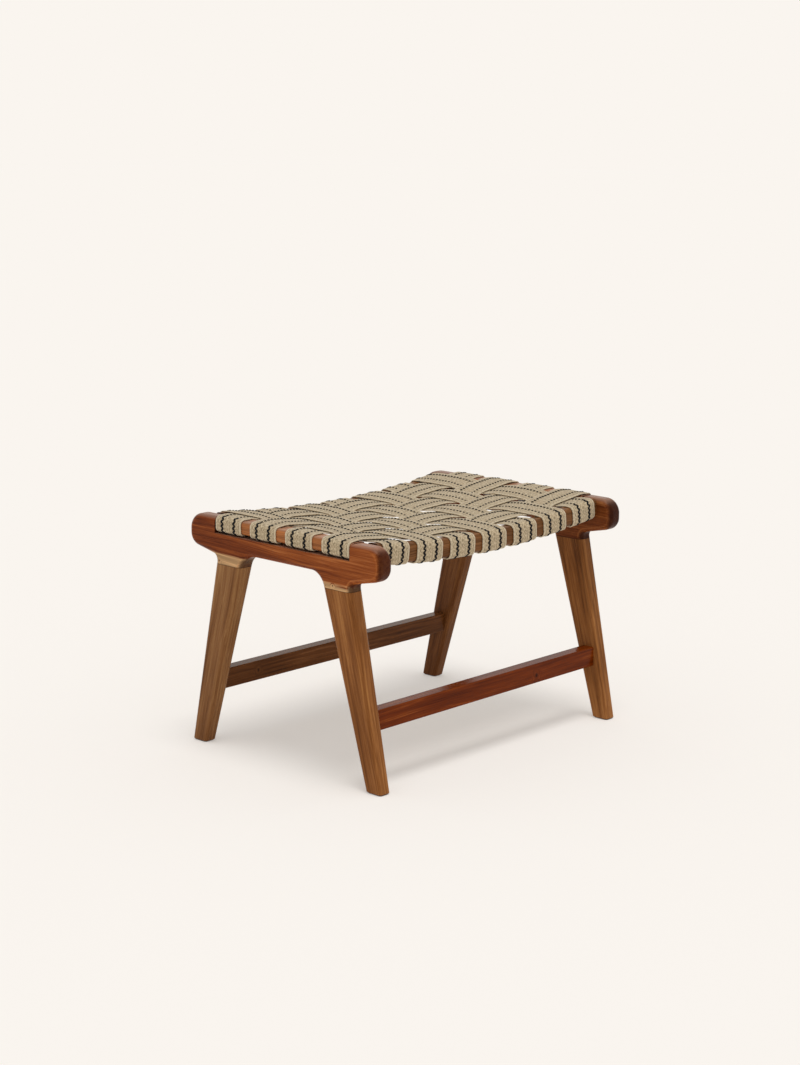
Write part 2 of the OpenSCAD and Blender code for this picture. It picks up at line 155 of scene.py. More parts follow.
def coat(tree, colour, mask, strength, paint):
    """A colour with paint over it where a mask is 1, as thick as its strength."""
    return blend(tree, calc(tree, "MULTIPLY", mask, strength), colour, paint)


def bumped(tree, height, strength, distance):
    """The normal of a surface with a fine relief."""
    inputs = {"Strength": strength, "Distance": distance, "Height": height}
    return add(tree, "ShaderNodeBump", inputs).outputs[0]


def new_material(name):
    """A material, its tree and its shader."""
    material = bpy.data.materials.new(name)
    material.use_nodes = True
    return material, material.node_tree, material.node_tree.nodes["Principled BSDF"]


def knotted(tree, place, bend, knots):
    """The bend of the grain with a swerve round each knot, and a mask of the knots' hearts."""
    hearts = 0.0
    for x, y, z, radius in knots:
        away = vector_calc(tree, "DISTANCE", place, (x, y, z))
        swerve = scaled(tree, (0.0, 0.01, 0.008), step_down(tree, away, 0.0, radius * 4))
        bend = vector_calc(tree, "ADD", bend, swerve)
        hearts = calc(tree, "MAXIMUM", hearts, step_down(tree, away, radius * 0.35, radius * 1.3))
    return bend, hearts


def sap_mask(tree, spot, streak, height, rise, fade):
    """1 below a height that rises along Y, with a streaky edge that fades out."""
    edge = calc(tree, "MULTIPLY_ADD", spot[1], rise, height)
    edge = layered(tree, edge, [(streak, fade * 3.0)])
    over_edge = calc(tree, "DIVIDE", calc(tree, "SUBTRACT", spot[2], edge), fade)
    return step_down(tree, over_edge, -0.5, 0.5)


def bar_mask(tree, spot, low, half_length, fade=0.002):
    """1 above a height and as far to both sides along Y as half a bar is long."""
    within = step_down(tree, calc(tree, "ABSOLUTE", spot[1]), half_length, half_length + fade)
    return calc(tree, "MULTIPLY", step_up(tree, spot[2], low, low + fade), within)


def arris_mask(tree, normal):
    """1 along a rounded edge, just where it turns away from a face that is square to an axis, and 0
    on the face itself and halfway round the edge."""
    parts = split(tree, vector_calc(tree, "ABSOLUTE", normal))
    squarest = calc(tree, "MAXIMUM", calc(tree, "MAXIMUM", parts[0], parts[1]), parts[2])
    return calc(tree, "SUBTRACT", step_up(tree, squarest, 0.86, 0.92), step_up(tree, squarest, 0.95, 0.99))


OFF_AXIS = Vector((0.31, 0.17, 0.93))
TONE_STOPS = (0.15, 0.4, 0.6, 0.88)
TOP_SHEEN_GREY = srgb(160, 130, 112)
VARNISH_SHINE = 0.06


def wood(name, along, tones, seed, ring_pitch=0.006, pith=(0.09, 0.05), figure=1.0, knots=(), sap=None,
         bar=None, rough=0.17, arris_highlight=0.15, top_sheen=0.0, paler=(0.0, 0.0, 0.0)):
    """Varnished wood with its grain along a direction, in four tones from the darkest to the lightest.
    Its rings lie ring_pitch apart round a pith. figure is the strength of its lines, worn that of the
    painted highlight along its rounded edges, dull that of the painted sheen on the faces that look up,
    and paler the way in which the wood grows paler, per metre. A knot is (x, y, z, radius). sap is
    (height, rise along Y, fade, colour) of a pale band at the foot, and bar is (lowest point, half
    length, share, colour) of a bar that took less stain."""
    material, tree, surface = new_material(name)
    coordinates = add(tree, "ShaderNodeTexCoord").outputs
    place, normal = coordinates["Object"], coordinates["Normal"]
    spot = split(tree, place)

    # The pattern's own X runs along the grain. Its lines wander, and swerve round each knot
    axis = Vector(along).normalized()
    first = axis.cross(OFF_AXIS).normalized()
    second = axis.cross(first)
    parts = [vector_calc(tree, "DOT_PRODUCT", place, tuple(v)) for v in (axis, first, second)]
    shift = (seed * 1.37, seed * 0.71, seed * 0.29)
    grain = vector_calc(tree, "ADD", joined(tree, *parts), shift)
    bend = wander(tree, grain, (4.0, 14.0, 14.0), (0.0, 0.016, 0.016))
    bend, hearts = knotted(tree, place, bend, knots)
    warped = vector_calc(tree, "ADD", grain, bend)

    # Rings round the pith, streaks, fine fibres and pores, all drawn out along the grain
    section = vector_calc(tree, "MULTIPLY", warped, (0.0, 1.0, 1.0))
    section = vector_calc(tree, "ADD", section, (0.0, pith[0] - shift[1], pith[1] - shift[2]))
    from_pith = vector_calc(tree, "LENGTH", section)
    rings = calc(tree, "SINE", calc(tree, "MULTIPLY", from_pith, 2 * math.pi / ring_pitch))
    fibre = noise(tree, warped, (13.0, 620.0, 620.0), detail=3.0, roughness=0.6)[0]
    streak = noise(tree, warped, (5.0, 190.0, 190.0), detail=3.0, roughness=0.6)[0]
    patch = noise(tree, warped, (6.0, 34.0, 34.0), detail=1.0)[0]
    pores = step_up(tree, noise(tree, grain, (80.0, 1500.0, 1500.0), detail=1.0)[0], 0.62, 0.78)
    tone = calc(tree, "MULTIPLY_ADD", rings, 0.05 * figure, 0.5)
    tone = layered(tree, tone, [(fibre, 0.75 * figure), (streak, 0.8 * figure), (patch, 0.5 * figure)])
    tone = calc(tree, "ADD", tone, vector_calc(tree, "DOT_PRODUCT", place, paler), clamp=True)
    colour = ramp(tree, tone, zip(TONE_STOPS, tones))
    colour = coat(tree, colour, pores, 0.5, tones[0])

    # Sapwood, thin stain and knots
    blotch = step_up(tree, tone, 0.25, 0.75)
    if sap:
        height, rise, fade, paint = sap
        pale = blend(tree, blotch, darker(paint, 0.5), paint)
        colour = coat(tree, colour, sap_mask(tree, spot, streak, height, rise, fade), 0.9, pale)
    if bar:
        low, half_length, share, paint = bar
        pale = blend(tree, blotch, darker(paint, 0.45), paint)
        colour = coat(tree, colour, bar_mask(tree, spot, low, half_length), share, pale)
    if knots:
        colour = coat(tree, colour, hearts, 0.8, darker(tones[0], 0.35))

    # Painted highlights along the rounded edges and painted sheen on the faces that look up, darker end
    # grain, and a thin dark line at the leg joint
    # The paler line along each rounded edge is a painted highlight, broken up by noise
    arris_highlight_share = calc(tree, "MULTIPLY", step_up(tree, patch, 0.35, 0.65), arris_highlight)
    colour = coat(tree, colour, arris_mask(tree, normal), arris_highlight_share, tones[3])
    # Painted sheen: the faces that look up are greyed, as if they reflected the pale surroundings
    if top_sheen:
        upward = step_up(tree, split(tree, normal)[2], 0.45, 0.95)
        colour = coat(tree, colour, upward, top_sheen, TOP_SHEEN_GREY)
    end_on = calc(tree, "ABSOLUTE", vector_calc(tree, "DOT_PRODUCT", normal, tuple(axis)))
    colour = coat(tree, colour, step_up(tree, end_on, 0.25, 0.8), 0.85, darker(tones[0], 0.75))
    from_joint = calc(tree, "ABSOLUTE", calc(tree, "SUBTRACT", spot[2], JOINT_Z))
    colour = coat(tree, colour, step_down(tree, from_joint, 0.0003, 0.0009), 0.6, darker(tones[0], 0.25))

    relief = calc(tree, "MULTIPLY_ADD", pores, -0.7, calc(tree, "MULTIPLY", fibre, 0.5))
    feed(tree, surface, {
        "Base Color": colour,
        "Roughness": calc(tree, "MULTIPLY_ADD", fibre, 0.2, rough),
        "Specular IOR Level": VARNISH_SHINE,
        "Normal": bumped(tree, relief, 0.35, 0.0003),
    })
    return material


def finish_node(name, material):
    """Gives a CAD node its material."""
    for slot in nodes[name].material_slots:
        slot.material = material


# The left rail has a band of sapwood at the foot of its stubs. The bars took less stain, and a
# plugged screw hole on each stub shows as a small knot, given by its place along Y and its radius
RED_TONES = [(60, 22, 8), (114, 52, 20), (148, 77, 33), (196, 122, 68)]
SAP_BAND = (JOINT_Z + 0.0125, 0.035, 0.005, srgb(230, 184, 132))
PALE_BAR = (0.369, 0.1525, 0.6, srgb(216, 142, 86))
RAIL_FACE_X = 0.305
HOLE_Z = 0.322
HOLES = ((-0.144, 0.0018), (0.118, 0.0015))
# The right rail's wood is a fifth darker: painted shade for its inner face, which lies in shadow under the
# seat
for end, seed, depth, sap in (("left", 1.0, 1.0, SAP_BAND), ("right", 4.0, 0.8, None)):
    side = -1 if end == "left" else 1
    tones = [srgb(*(depth * c for c in tone)) for tone in RED_TONES]
    holes = [(side * RAIL_FACE_X, side * y, HOLE_Z, radius) for y, radius in HOLES]
    material = wood(f"{end}_end_rail_wood", (0, 1, 0.02), tones, seed, ring_pitch=0.008,
                    pith=(0.12, 0.03), figure=0.8, knots=holes, sap=sap, bar=PALE_BAR, arris_highlight=0.45,
                    top_sheen=0.5, paler=(0.0, -0.4, 0.0))
    finish_node(f"{end}_end_rail", material)


# Legs.
# Four tapered legs of olive-brown wood, cut square and rounded along their corners. Each is
# glued and dowelled under a stub at a level joint, and its grain follows its lean.
# The middle of a leg moves 79 mm outward over its 316 mm
LEG_LEAN = 79.0 / 316.0
LEG_TONES = [(82, 46, 20), (126, 78, 38), (154, 102, 56), (190, 138, 82)]
# Each leg's tint in red, green and blue, and how much paler it grows upward, per metre
LEGS = (
    ("front", "left", (0.98, 0.95, 0.92), 0.0),
    ("front", "right", (1.08, 1.09, 1.12), -0.65),
    ("back", "left", (0.85, 0.86, 0.92), 0.6),
    ("back", "right", (0.7, 0.64, 0.6), 0.6),
)
for k, (side, end, tint, paler_up) in enumerate(LEGS):
    inward = 1 if side == "front" else -1
    tones = [srgb(*(t * c for t, c in zip(tint, tone))) for tone in LEG_TONES]
    material = wood(f"{side}_{end}_leg_wood", (0, inward * LEG_LEAN, 1), tones, 7.0 + 2.3 * k,
                    ring_pitch=0.007, pith=(0.05, 0.11), figure=0.78, paler=(0.0, 0.0, paler_up))
    finish_node(f"{side}_{end}_leg", material)


# Stretchers.
# Two bars along the seat, tenoned into the inner faces of the legs. The front one is a dark red and
# the back one brown, and both carry the glossiest coat of the stool.
FRONT_TONES = [srgb(62, 17, 0), srgb(94, 35, 2), srgb(114, 46, 5), srgb(158, 86, 34)]
BACK_TONES = [srgb(58, 30, 12), srgb(88, 50, 22), srgb(108, 64, 31), srgb(144, 98, 62)]
# Each stretcher's tones, seed and knot
STRETCHERS = (
    ("front_stretcher", FRONT_TONES, 21.0, (0.118, -0.188, 0.108, 0.004)),
    ("back_stretcher", BACK_TONES, 24.0, (-0.2, 0.163, 0.112, 0.003)),
)
for name, tones, seed, knot in STRETCHERS:
    material = wood(f"{name}_wood", (1, 0, 0), tones, seed, figure=0.8, knots=[knot], rough=0.08, arris_highlight=0.3)
    finish_node(name, material)


# Long rails.
# Two curved rails that the cross straps wrap, each tenoned into both end rails. Only short lengths
# of their mid-brown wood show between the straps.
LONG_TONES = [srgb(62, 36, 18), srgb(98, 62, 32), srgb(120, 78, 44), srgb(156, 108, 66)]
for name, seed in (("front_long_rail", 31.0), ("back_long_rail", 34.0)):
    finish_node(name, wood(f"{name}_wood", (1, 0, 0), LONG_TONES, seed))


# Dowels and tacks.
# Two beech dowels hold each leg joint. Two steel tacks hold each end of a strap, with their heads
# on the strap, to the inner face of its bar or rail.
BEECH_TONES = [srgb(150, 110, 70), srgb(178, 138, 94), srgb(196, 158, 112), srgb(214, 180, 136)]
STEEL_TONES = [(0.3, srgb(120, 118, 114)), (0.7, srgb(188, 188, 186))]
finish_node("leg_dowels", wood("dowel_wood", (0, 0, 1), BEECH_TONES, 41.0))

steel, steel_tree, steel_surface = new_material("tack_steel")
steel_place = add(steel_tree, "ShaderNodeTexCoord").outputs["Object"]
steel_noise = noise(steel_tree, steel_place, (900.0, 900.0, 900.0), detail=3.0)[0]
feed(steel_tree, steel_surface, {
    "Base Color": ramp(steel_tree, steel_noise, STEEL_TONES),
    "Roughness": calc(steel_tree, "MULTIPLY_ADD", steel_noise, 0.3, 0.25),
    "Metallic": 1.0,
})
for name in ("left_end_tacks", "right_end_tacks", "front_rail_tacks", "back_rail_tacks"):
    finish_node(name, steel)


# Cross straps.
# Seven bands of coarse beige webbing, 60 mm wide, with two black yarns woven in. Each crosses the
# seat from front to back, wraps both long rails, and is tacked on their inner faces.
STRAP_W = 0.060
STRAP_T = 0.0025
STRAP_GAP = 0.0004
STRAP_LIFT = STRAP_GAP + STRAP_T / 2
CROSS_COUNT = 7
LONG_COUNT = 4
CROSS_MARGIN = 0.009
LONG_MARGIN = 0.002
SLOT_LENGTH = 0.309
INNER_X = RAIL_LOW.x
BAR_TOP = RAIL_HIGH.z
LONG_RAIL_LOW, LONG_RAIL_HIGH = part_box("back_long_rail")
LONG_RAIL_Y = (LONG_RAIL_LOW.y + LONG_RAIL_HIGH.y) / 2
LONG_RAIL_T = LONG_RAIL_HIGH.y - LONG_RAIL_LOW.y
LONG_RAIL_H = 0.032
LONG_RAIL_R = 0.008
CROSS_PITCH = (2 * INNER_X - 2 * CROSS_MARGIN - STRAP_W) / (CROSS_COUNT - 1)
LONG_PITCH = (SLOT_LENGTH - 2 * LONG_MARGIN - STRAP_W) / (LONG_COUNT - 1)
CROSS_X = [(j - (CROSS_COUNT + 1) / 2) * CROSS_PITCH for j in range(1, CROSS_COUNT + 1)]
LONG_Y = [((LONG_COUNT + 1) / 2 - i) * LONG_PITCH for i in range(1, LONG_COUNT + 1)]

# The middle surface of the seat is an arc across X that hangs below the bars
SEAT_SAG = 0.018
ARC_R = (INNER_X ** 2 + SEAT_SAG ** 2) / (2 * SEAT_SAG)
ARC_Z = BAR_TOP + STRAP_GAP + STRAP_T / 2 - SEAT_SAG + ARC_R
# How high a strap's crests lie over that surface, how full they are, and how short a bend can be
WEAVE_LIFT = 0.00276
WEAVE_FULLNESS = 0.45
BEND_LENGTH = 0.004
CORNER_POINTS = 13
SEAT_POINTS = 399


def crown(x):
    """Rounds a sine so that a strap lies fuller over the strap that it crosses."""
    return x * (1 + WEAVE_FULLNESS * (1 - x * x))


def weave_height(run, stations, signs, edges):
    """Height of a strap over the seat's middle surface at distances run along it. signs says whether
    it passes over (+1) or under (-1) at each station, and edges where it leaves the wood."""
    stops = [edges[0][signs[0] > 0], *stations, edges[1][signs[-1] > 0]]
    levels = [0, *signs, 0]
    height = np.zeros_like(run)
    for a, b, start, end in zip(stops, stops[1:], levels, levels[1:]):
        inside = (run >= a) & (run <= b)
        share = (run[inside] - a) / (b - a)
        if start == 0:
            height[inside] = end * crown(np.sin(share * math.pi / 2))
        elif end == 0:
            height[inside] = start * crown(np.cos(share * math.pi / 2))
        else:
            height[inside] = start * crown(np.cos(share * math.pi))
    return height * WEAVE_LIFT


def smoothed(height, run):
    """A strap is too stiff to kink, so its height is averaged over a short length."""
    count = max(1, int(round(BEND_LENGTH / (run[1] - run[0]))))
    window = np.hanning(2 * count + 3)[1:-1]
    padded = np.pad(height, len(window) // 2, mode="edge")
    return np.convolve(padded, window / window.sum(), mode="valid")


def hook_path(mid, size, r_out, r_in):
    """Middle line of a strap round a bar: from its tail on the inner face, under the bar and up its
    outer face. It lies in the strap's own plane, outer side at +X. Returns points and normals."""
    (x, z), (w, h) = mid, size
    points = [(x - w / 2 - STRAP_LIFT, z + h / 2 - r_in)]
    normals = [(-1.0, 0.0)]
    corners = [
        (x - w / 2 + r_in, z - h / 2 + r_in, r_in, 180, 270),
        (x + w / 2 - r_out, z - h / 2 + r_out, r_out, 270, 360),
        (x + w / 2 - r_out, z + h / 2 - r_out, r_out, 0, 90),
    ]
    for cx, cz, r, start, end in corners:
        for angle in np.radians(np.linspace(start, end, CORNER_POINTS)):
            across, up = math.cos(angle), math.sin(angle)
            normals.append((across, up))
            points.append((cx + (r + STRAP_LIFT) * across, cz + (r + STRAP_LIFT) * up))
    return np.array(points), np.array(normals)


def strap_line(hook, base, weave, reach):
    """Whole middle line of a strap in its own plane: a hook, the seat, and the hook at the other end,
    with the line's normals. Also returns how far its edges curl down at each point, which is most
    where it passes over, and how fully it wraps the wood there, from 0 to 1."""
    points, normals = hook
    run = np.linspace(-reach, reach, SEAT_POINTS + 2)[1:-1]
    lift = weave(run)
    seat = np.column_stack([run, smoothed(base(run) + lift, run)])
    slope = np.gradient(seat[:, 1], seat[:, 0])
    up = np.column_stack([-slope, np.ones_like(slope)])
    up /= np.linalg.norm(up, axis=1)[:, None]
    flip = np.array([-1.0, 1.0])
    flat = np.zeros(len(points))
    curl = EDGE_CURL * np.clip((lift / WEAVE_LIFT - 0.5) / 0.5, 0, 1)
    wrap = np.clip(1 - (reach - np.abs(run)) / WRAP_FADE, 0, 1)
    line = np.vstack([points * flip, seat, points[::-1]])
    normals = np.vstack([normals * flip, up, normals[::-1]])
    return line, normals, np.concatenate([flat, curl, flat]), np.concatenate([flat + 1, wrap, flat + 1])


def path_object(name, course, origin, forward, side, up):
    """A strap's path in space as a string of edges, with what each of its points needs to know."""
    line, normals, curl, wrap = course
    axes = np.array([forward, up])
    points = np.array(origin) + line @ axes
    mesh = bpy.data.meshes.new(name)
    mesh.from_pydata(points.tolist(), [(k, k + 1) for k in range(len(points) - 1)], [])
    for label, vectors in (("outward", normals @ axes), ("side", np.tile(side, (len(points), 1)))):
        attribute = mesh.attributes.new(label, "FLOAT_VECTOR", "POINT")
        attribute.data.foreach_set("vector", np.asarray(vectors, np.float32).ravel())
    for label, values in (("curl", curl), ("wrap", wrap)):
        mesh.attributes.new(label, "FLOAT", "POINT").data.foreach_set("value", values)
    path = bpy.data.objects.new(name, mesh)
    bpy.context.scene.collection.objects.link(path)
    return path


def new_tree(name, numbers):
    """Geometry Nodes tree with its sockets: geometry, plain numbers and a material."""
    tree = bpy.data.node_groups.new(name, "GeometryNodeTree")
    face = tree.interface
    face.new_socket(name="Geometry", in_out="INPUT", socket_type="NodeSocketGeometry")
    for number in numbers:
        face.new_socket(name=number, in_out="INPUT", socket_type="NodeSocketFloat")
    face.new_socket(name="Material", in_out="INPUT", socket_type="NodeSocketMaterial")
    face.new_socket(name="Geometry", in_out="OUTPUT", socket_type="NodeSocketGeometry")
    return tree, add(tree, "NodeGroupInput").outputs


def stored(tree, name, data_type):
    """An attribute that the path carries, or that an earlier node has stored."""
    return add(tree, "GeometryNodeInputNamedAttribute", {"Name": name}, data_type=data_type).outputs[0]


def store(tree, geometry, name, value, **settings):
    """Stores a value on a geometry under a name."""
    inputs = {"Geometry": geometry, "Name": name, "Value": value}
    return add(tree, "GeometryNodeStoreNamedAttribute", inputs, **settings).outputs[0]


def moved(tree, geometry, offset):
    """A geometry with each of its points moved by an offset."""
    return add(tree, "GeometryNodeSetPosition", {"Geometry": geometry, "Offset": offset}).outputs[0]


def resampled(tree, curve, length):
    """A curve with a point at every length along it."""
    inputs = {"Curve": curve, "Length": length}
    return add(tree, "GeometryNodeResampleCurve", inputs, mode="LENGTH").outputs[0]


def path_curve(tree, given, step):
    """The path that the tree is given as a curve, with a point at every step, and its length so far."""
    curve = add(tree, "GeometryNodeMeshToCurve", {"Mesh": given["Geometry"]}).outputs[0]
    return resampled(tree, curve, step), add(tree, "GeometryNodeSplineParameter").outputs["Length"]


def swept(tree, curve, outward, section):
    """A section swept along a curve, with the section's X turned outward."""
    inputs = {"Curve": curve, "Normal": outward}
    curve = add(tree, "GeometryNodeSetCurveNormal", inputs, mode="FREE").outputs[0]
    inputs = {"Curve": curve, "Profile Curve": section, "Fill Caps": True}
    return add(tree, "GeometryNodeCurveToMesh", inputs).outputs[0]


def finished(tree, geometry, material):
    """Smooth, real geometry with its material, sent to the tree's output."""
    inputs = {"Geometry": geometry, "Shade Smooth": True}
    geometry = add(tree, "GeometryNodeSetShadeSmooth", inputs).outputs[0]
    geometry = add(tree, "GeometryNodeRealizeInstances", {"Geometry": geometry}).outputs[0]
    inputs = {"Geometry": geometry, "Material": material}
    geometry = add(tree, "GeometryNodeSetMaterial", inputs).outputs[0]
    add(tree, "NodeGroupOutput", {0: geometry})
    return tree


def band_tree():
    """Sweeps the section of a strap along its path, curls its edges and makes its face uneven."""
    numbers = ("Width", "Thickness", "Step", "Selvedge", "Groove", "Unevenness", "Seed")
    tree, given = new_tree("strap_band", numbers)
    outward = stored(tree, "outward", "FLOAT_VECTOR")
    curve, run = path_curve(tree, given, given["Step"])
    curve = store(tree, curve, "along", run)

    # The strap's width lies on the section's Y, and its thickness on X
    size = {"Width": given["Thickness"], "Height": given["Width"]}
    section = add(tree, "GeometryNodeCurvePrimitiveQuadrilateral", size).outputs[0]
    radius = calc(tree, "MULTIPLY", given["Thickness"], CLOTH_ROUNDING)
    rounding = {"Curve": section, "Radius": radius, "Count": 3}
    section = add(tree, "GeometryNodeFilletCurve", rounding, mode="POLY").outputs[0]
    section = resampled(tree, section, given["Step"])
    spot = split(tree, add(tree, "GeometryNodeInputPosition").outputs[0])
    section = store(tree, section, "across", spot[1])
    band = swept(tree, curve, outward, section)

    # Its edges curl down, a groove runs inside each selvedge, and its face is a little uneven
    width_at = stored(tree, "across", "FLOAT")
    half = calc(tree, "MULTIPLY", given["Width"], 0.5)
    from_middle = calc(tree, "ABSOLUTE", width_at)
    edge_share = calc(tree, "POWER", calc(tree, "DIVIDE", from_middle, half), CURL_POWER)
    droop = calc(tree, "MULTIPLY", edge_share, stored(tree, "curl", "FLOAT"))
    droop = scaled(tree, outward, calc(tree, "MULTIPLY", droop, -1.0))
    off_seam = calc(tree, "SUBTRACT", calc(tree, "SUBTRACT", half, from_middle), given["Selvedge"])
    off_seam = calc(tree, "POWER", calc(tree, "DIVIDE", off_seam, SEAM_HALF), 2.0)
    seam = calc(tree, "EXPONENT", calc(tree, "MULTIPLY", off_seam, -1.0))
    flat = joined(tree, width_at, stored(tree, "along", "FLOAT"), given["Seed"])
    uneven = calc(tree, "SUBTRACT", noise(tree, flat, (220.0, 160.0, 1.0))[0], 0.5)
    uneven = calc(tree, "MULTIPLY", uneven, given["Unevenness"])
    push = calc(tree, "SUBTRACT", uneven, calc(tree, "MULTIPLY", seam, given["Groove"]))
    push = scaled(tree, add(tree, "GeometryNodeInputNormal").outputs[0], push)
    band = moved(tree, band, vector_calc(tree, "ADD", push, droop))
    band = store(tree, band, "strap", flat, data_type="FLOAT2", domain="CORNER")
    return finished(tree, band, given["Material"])


def yarn_tree():
    """Lays a zigzag yarn on a strap. On the seat it stands up on one stroke and dives into the cloth
    on the next, as deep as its depth. Where the strap wraps the wood, it lies proud throughout."""
    numbers = ("Place", "Pitch", "Swing", "Level", "Rise", "Depth", "Proud", "Phase", "Width", "Height")
    tree, given = new_tree("strap_yarn", numbers)
    outward = stored(tree, "outward", "FLOAT_VECTOR")
    curve, run = path_curve(tree, given, calc(tree, "DIVIDE", given["Pitch"], ZIGZAG_POINTS))
    turn = calc(tree, "MULTIPLY", calc(tree, "DIVIDE", run, given["Pitch"]), 2 * math.pi)
    sway = calc(tree, "MULTIPLY_ADD", calc(tree, "SINE", turn), given["Swing"], given["Place"])
    stroke = calc(tree, "COSINE", calc(tree, "ADD", turn, given["Phase"]))
    height = calc(tree, "MULTIPLY_ADD", stroke, given["Rise"], given["Level"])
    height = calc(tree, "MAXIMUM", height, given["Depth"])
    rest = calc(tree, "SUBTRACT", given["Proud"], height)
    height = calc(tree, "MULTIPLY_ADD", stored(tree, "wrap", "FLOAT"), rest, height)
    sideways = scaled(tree, stored(tree, "side", "FLOAT_VECTOR"), sway)
    curve = moved(tree, curve, vector_calc(tree, "ADD", sideways, scaled(tree, outward, height)))
    ring = add(tree, "GeometryNodeCurvePrimitiveCircle", {"Resolution": 8, "Radius": 1.0}).outputs[0]
    size = joined(tree, given["Height"], given["Width"], 1.0)
    size = vector_calc(tree, "MULTIPLY", size, (0.5, 0.5, 1.0))
    ring = add(tree, "GeometryNodeTransform", {"Geometry": ring, "Scale": size}).outputs[0]
    return finished(tree, swept(tree, curve, outward, ring), given["Material"])


def run_tree(tree, path, values):
    """Runs a Geometry Nodes tree on a path and returns its result as a plain mesh."""
    modifier = path.modifiers.new("nodes", "NODES")
    modifier.node_group = tree
    for item in tree.interface.items_tree:
        if item.item_type == "SOCKET" and item.in_out == "INPUT" and item.name in values:
            modifier[item.identifier] = values[item.name]
    graph = bpy.context.evaluated_depsgraph_get()
    result = path.evaluated_get(graph)
    mesh = bpy.data.meshes.new_from_object(result, preserve_all_data_layers=True, depsgraph=graph)
    path.modifiers.remove(modifier)
    return mesh


def webbing_material():
    """Coarse beige webbing: yarns in relief, flecks, browner patches and pale selvedges."""
    material, tree, surface = new_material("webbing")
    flat = add(tree, "ShaderNodeUVMap", uv_map="strap").outputs[0]

    # Yarns that pass over and under each other on a slightly crooked grid
    bend = wander(tree, flat, (180.0, 120.0, 0.0), (0.0012, 0.0012, 0.0))
    wavy = split(tree, vector_calc(tree, "ADD", flat, bend))
    sides, yarns = [], []
    for way, pitch in ((0, YARN_WARP), (1, YARN_WEFT)):
        turn = calc(tree, "MULTIPLY", wavy[way], 2 * math.pi / pitch)
        sides.append(calc(tree, "SINE", calc(tree, "MULTIPLY", turn, 0.5)))
        yarns.append(calc(tree, "MULTIPLY_ADD", calc(tree, "COSINE", turn), -0.5, 0.5))
    over = step_up(tree, calc(tree, "MULTIPLY", *sides), -0.25, 0.25)
    under = calc(tree, "SUBTRACT", 1.0, over)
    relief = calc(tree, "MULTIPLY_ADD", over, yarns[0], calc(tree, "MULTIPLY", under, yarns[1]))

    # Colour: flecks of several sizes, browner patches, pale selvedges, and painted shade in the seam groove
    fuzz = noise(tree, flat, (1900.0, 1900.0, 0.0), detail=3.0, roughness=0.7)[0]
    mottle = noise(tree, flat, (330.0, 260.0, 0.0), detail=3.0, roughness=0.7)[0]
    # The hollows between the yarns are painted darker, as shade
    tone = calc(tree, "MULTIPLY_ADD", relief, 0.35, 0.33)
    tone = calc(tree, "ADD", layered(tree, tone, [(mottle, 2.2), (fuzz, 0.7)]), 0.0, clamp=True)
    colour = ramp(tree, tone, zip(WEBBING_STOPS, WEBBING_TONES))
    browner = step_up(tree, noise(tree, flat, (90.0, 60.0, 0.0))[0], 0.4, 0.75)
    colour = coat(tree, colour, browner, 0.3, BROWNER_CLOTH)
    to_edge = calc(tree, "SUBTRACT", STRAP_W / 2, calc(tree, "ABSOLUTE", split(tree, flat)[0]))
    colour = coat(tree, colour, step_down(tree, to_edge, 0.003, 0.0042), 0.4, SELVEDGE_TONE)
    # A thin line of painted shade along the groove at each seam
    seam = calc(tree, "ABSOLUTE", calc(tree, "SUBTRACT", to_edge, SELVEDGE))
    colour = coat(tree, colour, step_down(tree, seam, 0.0003, 0.0012), 0.3, SEAM_SHADE)

    height = calc(tree, "MULTIPLY_ADD", fuzz, 0.35, relief)
    feed(tree, surface, {
        "Base Color": colour,
        "Roughness": 0.88,
        "Specular IOR Level": 0.15,
        "Sheen Weight": 0.25,
        "Sheen Roughness": 0.5,
        "Sheen Tint": (0.75, 0.88, 1.0, 1.0),
        "Normal": bumped(tree, height, 0.7, 0.0005),
    })
    return material


def yarn_material(name, tones):
    """Twisted yarn, whose strands and hairs show as fine flecks."""
    material, tree, surface = new_material(name)
    place = add(tree, "ShaderNodeTexCoord").outputs["Object"]
    fleck = noise(tree, place, (1500.0, 1500.0, 1500.0), detail=3.0, roughness=0.7)[0]
    feed(tree, surface, {
        "Base Color": ramp(tree, fleck, zip((0.3, 0.7), tones)),
        "Roughness": 0.85,
        "Specular IOR Level": 0.2,
        "Normal": bumped(tree, fleck, 0.6, 0.0003),
    })
    return material


# The cloth is a little thinner than the solid that it replaces, because its face is uneven. Its
# two lines of black yarn differ in how high their stitches rise and in which strokes rise
CLOTH_T = 0.0021
CLOTH_ROUNDING = 0.48
YARN_WARP = 0.0024
YARN_WEFT = 0.0019
SELVEDGE = 0.0045
SEAM_HALF = 0.0011
EDGE_CURL = 0.0012
CURL_POWER = 3.0
WRAP_FADE = 0.004
WEBBING_TONES = [srgb(112, 92, 64), srgb(173, 153, 120), srgb(204, 183, 147), srgb(231, 214, 181)]
WEBBING_STOPS = (0.1, 0.38, 0.66, 0.95)
BROWNER_CLOTH = srgb(196, 166, 130)
SELVEDGE_TONE = srgb(232, 216, 186)
SEAM_SHADE = srgb(130, 108, 80)
BLACK_TONES = [srgb(8, 8, 9), srgb(28, 26, 26)]
BLACK_PLACE = 0.014
ZIGZAG_POINTS = 14.0
BLACK_LINES = ((-1, 0.0020, 0.0), (1, 0.0025, math.pi))
BAND = band_tree()
BAND_VALUES = {
    "Width": STRAP_W, "Thickness": CLOTH_T, "Step": 0.0013, "Selvedge": SELVEDGE, "Groove": 0.0003,
    "Unevenness": 0.0005, "Material": webbing_material(),
}
YARN = yarn_tree()
YARN_VALUES = {
    "Pitch": 0.0072, "Swing": 0.0019, "Level": CLOTH_T / 2 - 0.0018, "Depth": CLOTH_T / 2 - 0.0014,
    "Proud": CLOTH_T / 2, "Width": 0.0036, "Height": 0.0021,
    "Material": yarn_material("black_yarn", BLACK_TONES),
}


